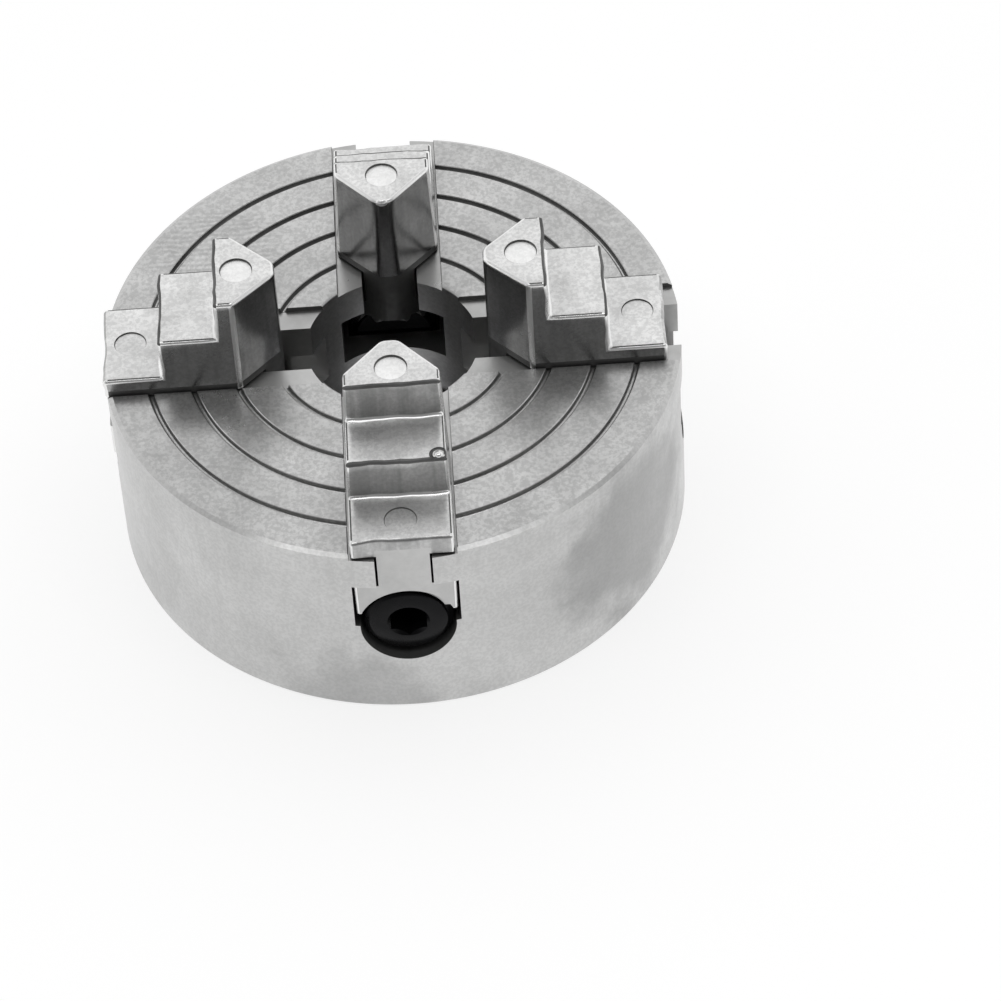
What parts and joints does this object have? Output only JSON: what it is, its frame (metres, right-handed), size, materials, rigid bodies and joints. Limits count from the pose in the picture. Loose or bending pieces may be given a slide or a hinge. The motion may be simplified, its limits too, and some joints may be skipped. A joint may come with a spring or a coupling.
{
  "type": "independent lathe chuck",
  "caption": "Small independent lathe chuck with four stepped jaws in T-slots, each moved by its own hex-socket screw, and a threaded spindle bush in the back.",
  "frame": {"origin": "on the chuck's axis at its back face", "axes": "+Z along the chuck's axis, from the back face towards the jaws; +X towards one jaw's slot and +Y towards the next"},
  "size_m": [0.065, 0.065, 0.0379],
  "materials": {
    "machined_zinc": "satin, finely turned",
    "cast_zinc": "satin cast",
    "black_steel": "black oxide, oiled",
    "bright_steel": "satin"
  },
  "bodies": {
    "chuck": {"chuck_body": "machined_zinc", "spindle_bush": "bright_steel", "bush_screw_1": "black_steel", "bush_screw_2": "black_steel", "bush_screw_3": "black_steel", "bush_screw_4": "black_steel", "thrust_yoke_front": "bright_steel", "thrust_yoke_right": "bright_steel", "thrust_yoke_back": "bright_steel", "thrust_yoke_left": "bright_steel", "yoke_plug_front": "black_steel", "yoke_plug_right": "black_steel", "yoke_plug_back": "black_steel", "yoke_plug_left": "black_steel"},
    "screw_front": {"jaw_screw_front": "black_steel"},
    "screw_right": {"jaw_screw_right": "black_steel"},
    "screw_back": {"jaw_screw_back": "black_steel"},
    "screw_left": {"jaw_screw_left": "black_steel"},
    "jaw_front": {"jaw_front": "cast_zinc"},
    "jaw_right": {"jaw_right": "cast_zinc"},
    "jaw_back": {"jaw_back": "cast_zinc"},
    "jaw_left": {"jaw_left": "cast_zinc"}
  },
  "joints": [
    {"name": "screw_front_turn", "type": "hinge", "parent": "chuck", "child": "screw_front", "pos_m": [0, -0.0316, 0.0134], "axis": [0, -1, 0], "range_deg": [-1926, 900]},
    {"name": "screw_right_turn", "type": "hinge", "parent": "chuck", "child": "screw_right", "pos_m": [0.0316, 0, 0.0134], "axis": [1, 0, 0], "range_deg": [-1701, 1125]},
    {"name": "screw_back_turn", "type": "hinge", "parent": "chuck", "child": "screw_back", "pos_m": [0, 0.0316, 0.0134], "axis": [0, 1, 0], "range_deg": [-1440, 1386]},
    {"name": "screw_left_turn", "type": "hinge", "parent": "chuck", "child": "screw_left", "pos_m": [-0.0316, 0, 0.0134], "axis": [-1, 0, 0], "range_deg": [-1989, 837]},
    {"name": "jaw_front_slide", "type": "slide", "parent": "chuck", "child": "jaw_front", "axis": [0, -1, 0], "range_m": [-0.0107, 0.005]},
    {"name": "jaw_right_slide", "type": "slide", "parent": "chuck", "child": "jaw_right", "axis": [1, 0, 0], "range_m": [-0.00945, 0.00625]},
    {"name": "jaw_back_slide", "type": "slide", "parent": "chuck", "child": "jaw_back", "axis": [0, 1, 0], "range_m": [-0.008, 0.0077]},
    {"name": "jaw_left_slide", "type": "slide", "parent": "chuck", "child": "jaw_left", "axis": [-1, 0, 0], "range_m": [-0.01105, 0.00465]}
  ],
  "couplings": [
    {"joint": "screw_front_turn", "follows": "jaw_front_slide", "rad_per_m": 3141.6},
    {"joint": "screw_right_turn", "follows": "jaw_right_slide", "rad_per_m": 3141.6},
    {"joint": "screw_back_turn", "follows": "jaw_back_slide", "rad_per_m": 3141.6},
    {"joint": "screw_left_turn", "follows": "jaw_left_slide", "rad_per_m": 3141.6}
  ]
}
